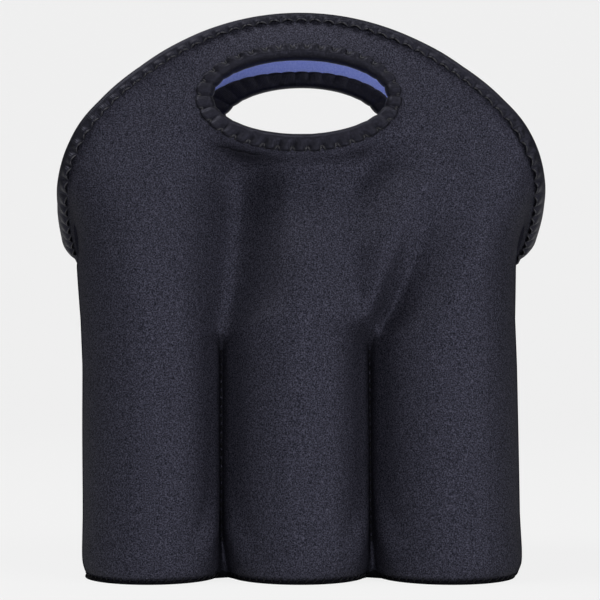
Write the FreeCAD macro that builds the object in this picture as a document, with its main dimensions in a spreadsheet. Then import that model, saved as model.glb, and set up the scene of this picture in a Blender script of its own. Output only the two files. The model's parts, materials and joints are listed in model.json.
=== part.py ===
import FreeCAD, Part
import math
import os
import re
import Sketcher

# Soft neoprene carrier for six bottles in two rows of three.
# Frame: origin on the floor under the middle, +Z up, front towards -Y, width along X. Millimetres.

SIZES = [
    # Bottle and panel
    ("bottle_diameter", 61.0, "Bottle that each pocket is sewn for"),
    ("bottle_room", 1.0, "Slack of a pocket across its diameter"),
    ("shell_thickness", 3.2, "Foamed neoprene with its black face"),
    ("lining_thickness", 0.8, "Blue jersey on the inside"),
    # Pockets
    ("groove_radius", 1.5, "Tip of the sewn groove between two pockets"),
    ("groove_height", 112.0, "Height where the sewn groove ends"),
    ("fold_height", 150.0, "Height of the fold between pockets and flap"),
    ("fold_dip", 0.5, "Depth that the groove still has at the fold"),
    ("base_thickness", 4.0, "Base panel"),
    ("base_inset", 2.0, "How far the base stays behind the pockets"),
    ("base_round_height", 10.0, "Height over which a pocket draws in to the base"),
    # Inner walls
    ("divider_thickness", 3.0, "Wall between the two rows"),
    ("divider_height", 140.0, "Top of the divider above the floor"),
    ("web_thickness", 3.0, "Cross wall between two bottles of a row"),
    ("seat_gap", 0.3, "Room between an inner wall and what it is sewn to"),
    # Handle flap
    ("flap_rise", 117.5, "Rim above the fold"),
    ("wing_flare", 13.25, "Widest reach of the rim beyond the pockets"),
    ("wing_end_rise", 3.0, "Cut edge above the fold where a wing ends"),
    ("wing_seam_gap", 4.0, "Distance of a wing's end from the side seam"),
    ("rim_gap", 84.0, "Between the two flaps at the top edge, mid panel"),
    ("fold_play", 0.3, "Room between the fold bead and the flap"),
    ("gusset_offset", 15.0, "Where a wing gusset starts beyond the corner"),
    ("gusset_angle", 22.0, "Slope of the line where a gusset ends, degrees"),
    # Binding
    ("binding_thickness", 1.2, "Folded tape on each face"),
    ("binding_cover", 4.2, "Tape on the face, in from the cut edge"),
    ("binding_reach", 2.5, "Tape beyond the cut edge"),
    ("binding_play", 0.2, "Room between tape and panel"),
    # Handle hole
    ("handle_width", 81.0, "Clear opening inside the binding"),
    ("handle_height", 37.5, "Clear opening, along the flap"),
    ("handle_drop", 42.5, "Middle of the opening below the rim"),
    ("handle_round", 1.6, "Rounding of the bound edge in the hand"),
    # Thread
    ("thread_diameter", 0.9, "Sewing thread"),
    ("thread_play", 0.15, "Room between thread and cloth"),
    ("stitch_pitch", 7.0, "Zigzag on the bindings, one full step"),
    ("stitch_width", 2.6, "Zigzag on the bindings, across"),
    ("stitch_edge", 0.9, "Zigzag to the inner edge of the tape"),
    ("seam_pitch", 6.0, "Side seam zigzag, one full step"),
    ("seam_width", 5.0, "Side seam zigzag, across"),
    ("seam_margin", 3.0, "Seam left free at its ends"),
    ("base_stitch_pitch", 8.0, "Base seam zigzag, one full step"),
    ("base_stitch_rise", 2.0, "Base seam zigzag above and below the joint"),
    ("groove_pitch", 8.0, "Row in a groove, one full step"),
    ("groove_sway", 0.8, "Row in a groove, across"),
    ("tack_length", 12.0, "Bar tack over the top of a side seam"),
    ("tack_pitch", 4.0, "Bar tack zigzag, one full step"),
    ("tack_width", 2.4, "Bar tack zigzag, across"),
    # Cuts
    ("cut_overrun", 5.0, "How far a cut runs past what it cuts"),
]

# Sizes that follow from the sheet
DERIVED = {
    "panel_thickness": "shell_thickness + lining_thickness",
    "half_panel": "panel_thickness / 2",
    "lobe_radius": "bottle_diameter / 2 + bottle_room / 2 + panel_thickness",
    "corner_x": "2 * lobe_radius",
    "side_x": "3 * lobe_radius",
    "front_y": "2 * lobe_radius",
    "fold_y": "front_y - half_panel",
    "rib_reach": "sqrt((lobe_radius + groove_radius) ^ 2 - lobe_radius ^ 2)",
    "groove_tip_y": "lobe_radius + rib_reach - groove_radius",
    "base_round_top": "base_thickness + base_round_height",
    "flap_bottom": "fold_height + half_panel + fold_play",
    "wing_half_width": "side_x + wing_flare",
    "edge_half_width": "wing_half_width - binding_reach",
    "edge_rise": "flap_rise - binding_reach",
    "thread_radius": "thread_diameter / 2",
    "thread_lift": "thread_radius + thread_play",
    "tape_face": "half_panel + binding_play + binding_thickness",
}

# Rim of a flap: three tangent arcs per side on a unit half width, the flatter middle one closing the shape
top_arc_share = 0.9
wing_arc_share = 0.572
top_arc_angle = math.radians(26)
flank_arc_angle = math.radians(47.3)
wing_arc_angle = math.radians(20.8)

# Lean of the flap along its half width, from the middle (0) to the wing end (1)
lean_shares = [(0.0, 1.0), (0.458, 1.0), (0.8, 0.444), (0.9, 0.222), (1.0, 0.0)]
flat_steps = 5
wing_steps = 12
nudge_share = 1e-4

doc = FreeCAD.newDocument("six_pack_carrier")
sheet = doc.addObject("Spreadsheet::Sheet", "Sizes")
for row, (alias, number, words) in enumerate(SIZES, 1):
    sheet.set(f"A{row}", words)
    sheet.set(f"B{row}", str(number))
    sheet.setAlias(f"B{row}", alias)
doc.recompute()
ALIASES = {alias for alias, number, words in SIZES}

Vector = FreeCAD.Vector
parts = []


def formula(text):
    """The text with every size named as a cell of the sheet."""

    def named(match):
        word = match.group(0)
        if word in DERIVED:
            return "(" + formula(DERIVED[word]) + ")"
        return "Sizes." + word if word in ALIASES else word

    return re.sub(r"[a-z_]+", named, text)


def value(text):
    result = sheet.evalExpression(formula(text))
    return float(getattr(result, "Value", result))


def bind(thing, **sizes):
    for name, text in sizes.items():
        thing.setExpression(name.replace("__", "."), formula(text))


def named_part(thing, label):
    thing.Label = label
    parts.append(thing)
    return thing


def solid_feature(name, shape):
    thing = doc.addObject("Part::Feature", name)
    thing.Shape = shape
    return thing


def combine(kind, name, base, tool):
    thing = doc.addObject("Part::" + kind, name)
    thing.Base = base
    thing.Tool = tool
    thing.Refine = False
    return thing


def mirrored(source, label):
    """Rear twin of a front piece."""
    thing = doc.addObject("Part::Mirroring", label + "_mirror")
    thing.Source = source
    thing.Normal = Vector(0, 1, 0)
    return named_part(thing, label)


# Pocket walls


def pocket_chain(inset, lobe, tip, z):
    """Front outline of three pockets from seam to seam, set in by inset."""
    corner, side, front = value("corner_x"), value("side_x"), value("front_y")
    radius = value("lobe_radius")
    lobe_y = lobe - front
    tip_y = lobe_y - math.sqrt((lobe + tip) ** 2 - radius ** 2)
    slope = Vector(radius, tip_y - lobe_y, 0).normalize()
    diagonal = math.sqrt(0.5) * (radius - inset)

    def at(x, y):
        return Vector(x, y, z)

    right = []
    middle = at(0, -front + inset)
    join = at(slope.x * (lobe - inset), lobe_y + slope.y * (lobe - inset))
    right.append(Part.LineSegment(at(side - inset, 0), at(side - inset, -radius)))
    corner_end = at(corner, -front + inset)
    right.append(Part.Arc(at(side - inset, -radius), at(corner + diagonal, -radius - diagonal), corner_end))
    far_join = at(corner - join.x, join.y)
    half_way = math.atan2(slope.y, slope.x) / 2 - math.pi / 4
    lobe_mid = at(math.cos(half_way) * (lobe - inset), lobe_y + math.sin(half_way) * (lobe - inset))
    right.append(Part.Arc(corner_end, at(corner - lobe_mid.x, lobe_mid.y), far_join))
    right.append(Part.Arc(far_join, at(radius, tip_y + tip + inset), join))
    right.append(Part.Arc(join, lobe_mid, middle))
    edges = [curve.toShape() for curve in right]
    left = [edge.mirror(Vector(), Vector(1, 0, 0)) for edge in reversed(edges)]
    return edges + left


def pocket_ring(outer, inner, lobe, tip, z):
    outside = pocket_chain(outer, lobe, tip, z)
    inside = pocket_chain(inner, lobe, tip, z)
    side = value("side_x")
    caps = []
    for sign in (1, -1):
        start = Vector(sign * (side - outer), 0, z)
        caps.append(Part.makeLine(start, Vector(sign * (side - inner), 0, z)))
    ordered = Part.__sortEdges__(outside + inside + caps)
    return Part.Wire(ordered)


def pocket_shell(outer_text, inner_text):
    """Ruled wall between two insets: drawn in at the base, grooved, flat at the fold."""
    outer, inner = value(outer_text), value(inner_text)
    lobe, tip, draw = value("lobe_radius"), value("groove_radius"), value("base_inset")
    dip = value("fold_dip")
    flat_lobe = (lobe ** 2 + dip ** 2) / (2 * dip) - tip
    rings = [
        pocket_ring(outer + draw, inner + draw, lobe, tip, value("base_thickness")),
        pocket_ring(outer, inner, lobe, tip, value("base_round_top")),
        pocket_ring(outer, inner, lobe, tip, value("groove_height")),
        pocket_ring(outer, inner, flat_lobe, tip, value("fold_height")),
    ]
    return Part.makeLoft(rings, True, True)


def pocket_walls():
    wall = solid_feature("pocket_wall_loft", pocket_shell("0", "shell_thickness"))
    bead = doc.addObject("Part::Cylinder", "fold_bead")
    bind(bead, Radius="half_panel", Height="2 * corner_x")
    bead.Angle = 180
    start = Vector(-value("corner_x"), -value("fold_y"), value("fold_height"))
    turn = FreeCAD.Rotation(Vector(0, 1, 0), Vector(0, 0, 1), Vector(1, 0, 0))
    bead.Placement = FreeCAD.Placement(start, turn)
    front = named_part(combine("Fuse", "front_wall_and_bead", wall, bead), "front_pocket_wall")
    mirrored(front, "rear_pocket_wall")
    lining = solid_feature("pocket_lining_loft", pocket_shell("shell_thickness", "panel_thickness"))
    mirrored(named_part(lining, "front_pocket_lining"), "rear_pocket_lining")


def base_panel():
    chain = pocket_chain(value("base_inset"), value("lobe_radius"), value("groove_radius"), 0)
    rear = [edge.mirror(Vector(), Vector(0, 1, 0)) for edge in chain]
    outline = solid_feature("base_outline", Part.Wire(Part.__sortEdges__(chain + rear)))
    panel = doc.addObject("Part::Extrusion", "base_plate")
    panel.Base = outline
    panel.DirMode = "Custom"
    panel.Dir = Vector(0, 0, 1)
    panel.Solid = True
    bind(panel, LengthFwd="base_thickness")
    named_part(panel, "base_panel")


# Inner walls


def padded_polygon(label, role, corners, thickness):
    """Body padded evenly to both sides of an origin plane, corners given as formulas."""
    body = doc.addObject("PartDesign::Body", label + "_body")
    plane = next(f for f in body.Origin.OriginFeatures if f.Role == role)
    sketch = body.newObject("Sketcher::SketchObject", label + "_outline")
    sketch.AttachmentSupport = [(plane, "")]
    sketch.MapMode = "FlatFace"
    points = [Vector(value(x), value(y), 0) for x, y in corners]
    count = len(points)
    for start in range(count):
        sketch.addGeometry(Part.LineSegment(points[start], points[(start + 1) % count]))
    for start in range(count):
        sketch.addConstraint(Sketcher.Constraint("Coincident", start, 2, (start + 1) % count, 1))
    for line, (x, y) in enumerate(corners):
        for kind, text in (("DistanceX", x), ("DistanceY", y)):
            index = sketch.addConstraint(Sketcher.Constraint(kind, -1, 1, line, 1, value(text)))
            sketch.setExpression(f"Constraints[{index}]", formula(text))
    doc.recompute()
    pad = body.newObject("PartDesign::Pad", label + "_pad")
    pad.Profile = sketch
    pad.SideType = "Symmetric"
    bind(pad, Length=thickness)
    return named_part(body, label)


def centre_divider():
    top_x = "side_x - panel_thickness - seat_gap"
    low_x = top_x + " - base_inset"
    right = [(low_x, "base_thickness"), (top_x, "base_round_top"), (top_x, "divider_height")]
    left = [("-(" + x + ")", z) for x, z in reversed(right)]
    padded_polygon("centre_divider", "XZ_Plane", right + left, "divider_thickness")


def cross_webs():
    """Four webs from the divider to the rib behind each groove."""
    near = "divider_thickness / 2 + seat_gap"
    far = "groove_tip_y - panel_thickness - seat_gap"
    low = far + " - base_inset"
    outline = [
        (near, "base_thickness"),
        (low, "base_thickness"),
        (far, "base_round_top"),
        (far, "groove_height"),
        (near, "groove_height"),
    ]
    for row, y_sign in (("front", "-"), ("rear", "")):
        for side, x_sign in (("left", "-"), ("right", "")):
            corners = [(y_sign + "(" + y + ")", z) for y, z in outline]
            web = padded_polygon(f"{row}_{side}_web", "YZ_Plane", corners, "web_thickness")
            bind(web, Placement__Base__x=x_sign + "lobe_radius")


# Handle flap


def fold_point(share):
    """Mid panel at the fold, along the half width from the middle to the wing end."""
    corner, radius = value("corner_x"), value("lobe_radius")
    bend = radius - value("half_panel")
    side_run = radius - value("wing_seam_gap")
    total = corner + bend * math.pi / 2 + side_run
    run = abs(share) * total
    z = value("fold_height")
    if run <= corner:
        x, y = run, -value("fold_y")
    elif run <= total - side_run:
        turn = (run - corner) / bend
        x = corner + bend * math.sin(turn)
        y = -radius - bend * math.cos(turn)
    else:
        x = corner + bend
        y = -radius + run - (total - side_run)
    return Vector(math.copysign(x, share), y, z)


def rim_unit(share):
    """Rim of unit half width, its top at (0, 0) and its wing end one unit shape lower."""
    top_reach = top_arc_share * math.sin(top_arc_angle)
    wing_reach = wing_arc_share * (1 - math.sin(flank_arc_angle))
    flank = (1 - top_reach - wing_reach) / (math.sin(flank_arc_angle) - math.sin(top_arc_angle))
    arcs = [
        (top_arc_share, 0.0, top_arc_angle),
        (flank, top_arc_angle, flank_arc_angle),
        (wing_arc_share, flank_arc_angle, math.pi / 2 + wing_arc_angle),
    ]
    run = abs(share) * sum(radius * (end - start) for radius, start, end in arcs)
    x = z = depth = 0.0
    for radius, start, end in arcs:
        turn = min(start + run / radius, end)
        run -= radius * (turn - start)
        x += radius * (math.sin(turn) - math.sin(start))
        z += radius * (math.cos(turn) - math.cos(start))
        depth += radius * (math.cos(start) - math.cos(end))
    return math.copysign(x, share), z / depth


def lean_at(share):
    full = (value("fold_y") - value("rim_gap") / 2) / value("edge_rise")
    for (low, low_lean), (high, high_lean) in zip(lean_shares, lean_shares[1:]):
        if abs(share) <= high:
            part = (abs(share) - low) / (high - low)
            return full * (low_lean + (high_lean - low_lean) * part)
    return 0.0


def rim_point(share):
    """Mid panel at the cut edge of the flap."""
    x, drop = rim_unit(share)
    rise = value("edge_rise") + drop * (value("edge_rise") - value("wing_end_rise"))
    foot = fold_point(share)
    y = foot.y + lean_at(share) * rise
    return Vector(x * value("edge_half_width"), y, value("fold_height") + rise)


class Station:
    """One straight line of the flap from the fold to the rim, with its face normal."""

    def __init__(self, share):
        self.foot = fold_point(share)
        self.rim = rim_point(share)
        low, high = max(share - nudge_share, -1), min(share + nudge_share, 1)
        along = (rim_point(high) - rim_point(low)).normalize()
        self.up = (self.rim - self.foot).normalize()
        self.out = self.up.cross(along).normalize()
        if self.out.y > 0:
            self.out = self.out * -1
        self.skew = self.up.cross(along).Length

    def at(self, beyond, out):
        """Point beyond the cut edge, square to it, and out from the middle of the panel."""
        return self.rim + self.up * (beyond / self.skew) + self.out * out

    def low(self, out):
        return self.foot - self.up * value("cut_overrun") + self.out * out


def flap_stations():
    fold_run = value("corner_x")
    bend = value("lobe_radius - half_panel") * math.pi / 2
    flat_share = fold_run / (fold_run + bend + value("lobe_radius - wing_seam_gap"))
    half = [flat_share * step / flat_steps for step in range(1, flat_steps + 1)]
    half += [flat_share + (1 - flat_share) * step / wing_steps for step in range(1, wing_steps + 1)]
    shares = [-share for share in reversed(half)] + [0.0] + half
    return [Station(share) for share in shares]


def flap_sheet(stations, outer, inner):
    sections = []
    for station in stations:
        corners = [station.low(outer), station.at(0, outer), station.at(0, inner), station.low(inner)]
        sections.append(Part.makePolygon(corners + corners[:1]))
    return Part.makeLoft(sections, True, True)


def rim_tape(stations):
    """Folded tape over the cut edge: a channel along the rim with a rounded back."""
    play, cover, reach = value("binding_play"), value("binding_cover"), value("binding_reach")
    slot, face = value("half_panel + binding_play"), value("tape_face")
    back = value("binding_reach - binding_thickness")
    nose = value("half_panel - binding_thickness / 2")
    profile = [
        (-cover, slot), (-cover, face), (back, face), (reach, nose),
        (reach, -nose), (back, -face), (-cover, -face), (-cover, -slot),
        (play, -slot), (play, slot),
    ]
    sections = []
    for station in stations:
        corners = [station.at(beyond, out) for beyond, out in profile]
        sections.append(Part.makePolygon(corners + corners[:1]))
    return Part.makeLoft(sections, True, True)


def fold_cut():
    box = doc.addObject("Part::Box", "fold_cut")
    bind(box, Length="2 * (wing_half_width + cut_overrun)", Width="front_y + cut_overrun")
    bind(box, Height="flap_bottom")
    bind(box, Placement__Base__x="-(wing_half_width + cut_overrun)")
    bind(box, Placement__Base__y="-(front_y + cut_overrun)")
    return box


def gusset_wedge(name, lift):
    """Block under the sloping line that rises from the fold towards the side seams."""
    box = doc.addObject("Part::Box", name)
    bind(box, Length="2 * (wing_half_width + cut_overrun)", Width="2 * front_y", Height="front_y")
    tilt = FreeCAD.Rotation(Vector(1, 0, 0), value("gusset_angle"))
    corner = Vector(-value("wing_half_width + cut_overrun"), 0, lift - value("front_y"))
    fold = Vector(0, -value("fold_y"), value("fold_height"))
    box.Placement = FreeCAD.Placement(fold + tilt.multVec(corner), tilt)
    return box


def wing_blocks():
    """Space above the pocket walls, left and right, where the gussets lie."""
    blocks = []
    for sign in (-1, 1):
        box = doc.addObject("Part::Box", "wing_block")
        bind(box, Length="lobe_radius + wing_half_width", Width="front_y + cut_overrun", Height="flap_rise")
        x = "corner_x + gusset_offset"
        bind(box, Placement__Base__x=x if sign > 0 else "-(" + x + " + lobe_radius + wing_half_width)")
        bind(box, Placement__Base__y="-(front_y + cut_overrun)", Placement__Base__z="fold_height")
        blocks.append(box)
    return combine("Fuse", "wing_blocks", *blocks)


def on_flap(thing):
    """Place a shape drawn flat about the handle's middle onto the front flap."""
    lean = lean_at(0)
    rise = value("flap_rise - handle_drop")
    middle = Vector(0, -value("fold_y") + lean * rise, value("fold_height") + rise)
    up = Vector(0, lean, 1).normalize()
    across = Vector(1, 0, 0)
    thing.Placement = FreeCAD.Placement(middle, FreeCAD.Rotation(across, up, across.cross(up)))
    return thing


def oval_block(name, grow, thickness):
    """Prism on the handle oval grown all round, centred on the panel."""
    oval = doc.addObject("Part::Ellipse", name + "_oval")
    bind(oval, MajorRadius="handle_width / 2 + " + grow, MinorRadius="handle_height / 2 + " + grow)
    on_flap(oval)
    block = doc.addObject("Part::Extrusion", name)
    block.Base = oval
    block.DirMode = "Normal"
    block.Solid = True
    block.Symmetric = True
    bind(block, LengthFwd=thickness)
    return block


def handle_tape():
    """Folded tape round the handle hole, rounded where the hand goes."""
    width = "2 * tape_face"
    slot = "2 * (half_panel + binding_play)"
    outer = oval_block("handle_tape_outer", "binding_reach + binding_cover", width)
    opening = oval_block("handle_tape_opening", "0", width + " + 2 * cut_overrun")
    around = oval_block("handle_slot_around", "binding_reach + binding_cover + cut_overrun", slot)
    core = oval_block("handle_slot_core", "binding_reach - binding_play", slot)
    ring = combine("Cut", "handle_tape_ring", outer, opening)
    channel = combine("Cut", "handle_tape_slot", around, core)
    tape = combine("Cut", "handle_tape_plain", ring, channel)
    doc.recompute()
    reach = value("handle_width") / 2
    inner = []
    for number, edge in enumerate(tape.Shape.Edges, 1):
        if edge.BoundBox.XLength < 2 * reach + value("binding_play") and edge.Length > 2 * reach:
            inner.append((number, value("handle_round"), value("handle_round")))
    rounded = doc.addObject("Part::Fillet", "handle_tape")
    rounded.Base = tape
    rounded.Edges = inner
    return rounded


# Thread


def thread(points, normals, closed=False):
    """Square thread along a zigzag, mitred at its turns, lying on faces with these normals."""
    radius = value("thread_radius")
    last = len(points) - 1
    rings = []
    for index, (point, normal) in enumerate(zip(points, normals)):
        before = points[index - 1] if index or closed else None
        after = points[(index + 1) % len(points)] if index < last or closed else None
        arriving = (point - before).normalize() if before else (after - point).normalize()
        leaving = (after - point).normalize() if after else arriving
        along = (arriving + leaving).normalize()
        side = normal.cross(along).normalize() * (radius / arriving.dot(along))
        high = normal * radius
        rings.append([point + side + high, point - side + high, point - side - high, point + side - high])
    spans = list(zip(rings, rings[1:]))
    caps = [rings[0], rings[-1]]
    if closed:
        spans.append((rings[-1], rings[0]))
        caps = []
    faces = [Part.Face(Part.makePolygon(ring + ring[:1])) for ring in caps]
    for low, high in spans:
        for start in range(len(low)):
            end = (start + 1) % len(low)
            near = Part.makeLine(low[start], low[end])
            far = Part.makeLine(high[start], high[end])
            faces.append(Part.makeRuledSurface(near, far))
    solid = Part.makeSolid(Part.makeShell(faces))
    if solid.Volume < 0:
        solid.reverse()
    return solid


def between(stations, lengths, run):
    """Two neighbour stations and the share between them at a run along the rim."""
    for index in range(len(stations) - 1):
        if run <= lengths[index + 1] or index == len(stations) - 2:
            span = lengths[index + 1] - lengths[index]
            return stations[index], stations[index + 1], (run - lengths[index]) / span


def rim_thread(stations, side):
    """Zigzag on the outer (1) or inner (-1) face of the rim tape."""
    lengths = [0.0]
    for low, high in zip(stations, stations[1:]):
        lengths.append(lengths[-1] + (high.rim - low.rim).Length)
    half_step = value("stitch_pitch") / 2
    count = int(lengths[-1] / half_step)
    inner = -value("binding_cover - stitch_edge")
    level = side * value("tape_face + thread_lift")
    points, normals = [], []
    for index in range(count + 1):
        low, high, part = between(stations, lengths, lengths[-1] * index / count)
        beyond = inner + (value("stitch_width") if index % 2 else 0)
        points.append(low.at(beyond, level) * (1 - part) + high.at(beyond, level) * part)
        normals.append((low.out * (1 - part) + high.out * part).normalize())
    return thread(points, normals)


def handle_thread(side):
    """Zigzag round the handle on the outer (1) or inner (-1) face of its tape."""
    sway = value("stitch_width / 2")
    grow = value("binding_reach + binding_cover - stitch_edge") - sway
    wide, high = value("handle_width / 2") + grow, value("handle_height / 2") + grow
    row = Part.Ellipse(Vector(), wide, high).toShape()
    count = 2 * int(row.Length / value("stitch_pitch"))
    level = Vector(0, 0, side * value("tape_face + thread_lift"))
    points = []
    for index, point in enumerate(row.discretize(Number=count + 1)[:count]):
        away = Vector(point.x / wide ** 2, point.y / high ** 2, 0).normalize()
        points.append(point + level + away * (sway if index % 2 else -sway))
    return thread(points, [Vector(0, 0, side)] * count, closed=True)


def seam_points(low, high, pitch, width):
    """Zigzag along a straight run: pairs of distance along it and across it."""
    count = max(int((high - low) / (pitch / 2)), 2)
    steps = range(count + 1)
    return [(low + (high - low) * step / count, width / 2 * (1 if step % 2 else -1)) for step in steps]


def side_seam(sign, label):
    x = sign * value("side_x + thread_lift")
    low = value("base_round_top + seam_margin")
    high = value("fold_height - seam_margin - tack_width - seam_margin")
    run = seam_points(low, high, value("seam_pitch"), value("seam_width"))
    points = [Vector(x, across, along) for along, across in run]
    named_part(solid_feature(label, thread(points, [Vector(sign, 0, 0)] * len(points))), label)


def bar_tack(sign, label):
    x = sign * value("side_x + thread_lift")
    z = value("fold_height - seam_margin - tack_width / 2")
    half = value("tack_length / 2")
    run = seam_points(-half, half, value("tack_pitch"), value("tack_width"))
    points = [Vector(x, along, z + across) for along, across in run]
    named_part(solid_feature(label, thread(points, [Vector(sign, 0, 0)] * len(points))), label)


def base_seam():
    """Zigzag over the joint of base and pockets, front and rear."""
    rise, lift = value("base_stitch_rise"), value("thread_lift")
    joint = value("base_thickness")
    draw = value("base_inset")
    upper_inset = draw - draw * rise / value("base_round_height") - lift
    rows = []
    for inset, z in ((draw - lift, joint - rise), (upper_inset, joint + rise)):
        chain = pocket_chain(inset, value("lobe_radius"), value("groove_radius"), z)
        rows.append(Part.Wire(Part.__sortEdges__(chain)))
    count = 2 * int(rows[0].Length / value("base_stitch_pitch"))
    rounds = [row.discretize(Number=count + 1) for row in rows]
    points = [rounds[index % 2][index] for index in range(1, count)]
    normals = []
    for index in range(1, count):
        along = rounds[0][index + 1] - rounds[0][index - 1]
        normals.append(along.cross(Vector(0, 0, 1)).normalize())
    front = thread(points, normals)
    rear = front.mirror(Vector(), Vector(0, 1, 0))
    named_part(solid_feature("base_seam", Part.makeCompound([front, rear])), "base_seam")


def groove_rows():
    tip = value("groove_radius")
    reach = min(value("groove_sway / 2 + thread_diameter"), tip)
    rise = tip - math.sqrt(tip ** 2 - reach ** 2)
    y = -value("groove_tip_y + thread_lift") - rise
    low = value("base_round_top + seam_margin")
    high = value("groove_height - seam_margin")
    run = seam_points(low, high, value("groove_pitch"), value("groove_sway"))
    rows = []
    for sign in (-1, 1):
        points = [Vector(sign * value("lobe_radius") + across, y, along) for along, across in run]
        rows.append(thread(points, [Vector(0, -1, 0)] * len(points)))
    rows_shape = Part.makeCompound(rows)
    front = named_part(solid_feature("front_groove_rows", rows_shape), "front_groove_stitching")
    mirrored(front, "rear_groove_stitching")


def handle_flaps():
    stations = flap_stations()
    half, skin = value("half_panel"), value("half_panel - shell_thickness")
    fold = fold_cut()
    wedge = gusset_wedge("gusset_wedge", 0)
    raised = gusset_wedge("gusset_wedge_raised", value("fold_play"))
    blocks = wing_blocks()
    hole = oval_block("handle_hole", "binding_reach", "2 * (tape_face + cut_overrun)")
    tape = solid_feature("rim_tape_loft", rim_tape(stations))
    whole = solid_feature("flap_sheet", flap_sheet(stations, half, -half))

    for label, outer, inner in (("handle_flap", half, skin), ("flap_lining", skin, -half)):
        sheet_loft = solid_feature(label + "_loft", flap_sheet(stations, outer, inner))
        above = combine("Cut", label + "_above_fold", sheet_loft, fold)
        free = combine("Cut", label + "_above_gusset", above, raised)
        holed = named_part(combine("Cut", label + "_holed", free, hole), "front_" + label)
        mirrored(holed, "rear_" + label)

    tape_above = combine("Cut", "rim_tape_above_fold", tape, fold)
    rim = named_part(combine("Cut", "rim_tape_free", tape_above, raised), "front_rim_binding")
    mirrored(rim, "rear_rim_binding")
    for label, source in (("wing_gussets", whole), ("rim_ends", tape)):
        under = combine("Common", label + "_under_wedge", source, wedge)
        ends = named_part(combine("Common", label + "_ends", under, blocks), "front_" + label)
        mirrored(ends, "rear_" + label)

    ring = named_part(handle_tape(), "front_handle_binding")
    mirrored(ring, "rear_handle_binding")

    rows = [rim_thread(stations, side) for side in (1, -1)]
    rim_rows = solid_feature("rim_rows", Part.makeCompound(rows))
    rim_rows_free = named_part(combine("Cut", "rim_rows_free", rim_rows, raised), "front_rim_stitching")
    mirrored(rim_rows_free, "rear_rim_stitching")
    rows = [handle_thread(side) for side in (1, -1)]
    handle_rows = on_flap(solid_feature("handle_rows", Part.makeCompound(rows)))
    named_part(handle_rows, "front_handle_stitching")
    mirrored(handle_rows, "rear_handle_stitching")


pocket_walls()
base_panel()
centre_divider()
cross_webs()
handle_flaps()
base_seam()
groove_rows()
for side_name, side_sign in (("left", -1), ("right", 1)):
    side_seam(side_sign, side_name + "_side_seam")
    bar_tack(side_sign, side_name + "_bar_tack")
doc.recompute()

faults = []
for thing in doc.Objects:
    if "Invalid" in thing.State or "Error" in thing.State:
        faults.append(f"{thing.Label}: {thing.State}")
for thing in parts:
    shape = thing.Shape
    if shape.isNull() or not shape.isValid() or not shape.Solids:
        faults.append(f"{thing.Label}: shape")
if faults:
    raise RuntimeError("; ".join(faults))

os.makedirs("parts", exist_ok=True)
for thing in parts:
    shape = thing.Shape
    shape.exportStep(f"parts/{thing.Label}.step")
    print(f"{thing.Label}: {len(shape.Solids)} solids, {shape.Volume / 1000:.2f} cm3")
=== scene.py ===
import bisect
import json
import math
import bmesh
import bpy
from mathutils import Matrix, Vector, noise


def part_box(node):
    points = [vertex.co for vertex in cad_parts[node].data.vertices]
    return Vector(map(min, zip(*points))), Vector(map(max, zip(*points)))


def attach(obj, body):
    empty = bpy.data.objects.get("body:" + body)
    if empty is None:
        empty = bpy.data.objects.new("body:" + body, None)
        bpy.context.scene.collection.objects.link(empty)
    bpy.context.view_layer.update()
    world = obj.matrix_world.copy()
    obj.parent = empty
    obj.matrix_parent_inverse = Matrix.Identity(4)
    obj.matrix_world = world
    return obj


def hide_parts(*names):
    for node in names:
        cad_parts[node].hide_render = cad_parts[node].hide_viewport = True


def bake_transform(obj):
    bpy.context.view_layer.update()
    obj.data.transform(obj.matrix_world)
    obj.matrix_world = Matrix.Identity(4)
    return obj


# Soft neoprene carrier with six pockets, in metres. Its front faces -Y and it stands on z = 0.
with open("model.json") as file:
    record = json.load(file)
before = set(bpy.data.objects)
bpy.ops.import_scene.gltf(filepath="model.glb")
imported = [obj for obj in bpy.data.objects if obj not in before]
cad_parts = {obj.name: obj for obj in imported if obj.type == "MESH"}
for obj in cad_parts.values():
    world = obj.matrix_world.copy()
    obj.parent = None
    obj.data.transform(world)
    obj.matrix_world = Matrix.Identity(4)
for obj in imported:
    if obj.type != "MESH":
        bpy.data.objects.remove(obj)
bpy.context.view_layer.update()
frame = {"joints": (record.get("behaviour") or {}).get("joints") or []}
mm = 0.001

wallLow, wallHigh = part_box("front_pocket_wall")
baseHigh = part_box("base_panel")[1]
dividerLow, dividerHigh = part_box("centre_divider")
foldAt = Vector(next(j for j in frame["joints"] if j["name"] == "front_flap_fold")["pos_m"])

# The sewn shell that every piece follows
shell = {
    "sideX": wallHigh.x,
    "frontY": -wallLow.y,
    "pocketR": -wallLow.y / 2,  # round of a pocket, and half the width of one
    "foldZ": foldAt.z,
    "lowZ": baseHigh.z - 2.2 * mm,  # the panels lap the edge of the base
    "cloth": 3.2 * mm,
    "liner": 0.7 * mm,
    "linerGap": 0.05 * mm,
    "halfPanel": 2 * mm,
    "baseDraw": wallHigh.x - baseHigh.x,  # pockets draw in to the base
    "baseRound": 10 * mm,
    "grooveDeep": 26.1 * mm,
    "grooveTip": 1.5 * mm,
    "seamGap": 0.1 * mm,
    "seamDip": 0.7 * mm,
    "seamDipFrom": 0.9,  # share of the side
    "rimHalf": 115.75 * mm,
    "rimRise": 116.6 * mm,
    "wingEndRise": 1.5 * mm,
    "lean": 0.226,
    "leanFade": 1.25,  # how it dies out towards the side seams
    "leanSoft": 18 * mm,
    "rearAside": 1 * mm,
}


def smooth(low, high, x):
    t = min(max((x - low) / (high - low), 0), 1)
    return t * t * (3 - 2 * t)


# Outline of the pockets

outlineRuns = [
    shell["pocketR"],  # half of the middle pocket
    shell["pocketR"],  # inner half of a corner pocket
    shell["pocketR"] * math.pi / 2,  # round corner
    shell["pocketR"] - shell["seamGap"],  # side, up to the seam
]
halfRun = sum(outlineRuns)


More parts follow.
